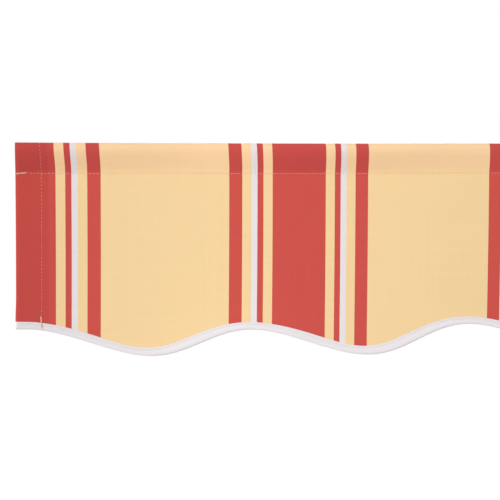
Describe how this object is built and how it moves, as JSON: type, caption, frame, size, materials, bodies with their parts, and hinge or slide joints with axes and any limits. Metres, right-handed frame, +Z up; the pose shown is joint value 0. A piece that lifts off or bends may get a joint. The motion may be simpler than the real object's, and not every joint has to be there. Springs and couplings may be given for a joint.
{
  "type": "scalloped awning valance",
  "caption": "Straight hanging strip of striped awning cloth with a sewn top sleeve for a rod, folded side hems and a wavy lower edge bound in white tape.",
  "frame": {"origin": "on the axis of the rod that the top sleeve holds, half way along the strip", "axes": "+X along the strip to the right as seen from the front, +Y to the back, +Z up"},
  "size_m": [1.5314, 0.0212, 0.2375],
  "materials": {
    "awning_cloth": "closely woven awning cloth, cream ground with upright red and white stripes, matt",
    "binding_tape": "white woven tape, matt",
    "seam_thread": "cream sewing thread, slight sheen",
    "binding_thread": "white sewing thread, slight sheen"
  },
  "bodies": {
    "root": {"valance_cloth": "awning_cloth", "edge_binding": "binding_tape", "sleeve_needle_thread": "seam_thread", "sleeve_bobbin_thread": "seam_thread", "left_hem_needle_thread": "seam_thread", "left_hem_bobbin_thread": "seam_thread", "right_hem_needle_thread": "seam_thread", "right_hem_bobbin_thread": "seam_thread", "binding_needle_thread": "binding_thread", "binding_bobbin_thread": "binding_thread"}
  },
  "joints": []
}
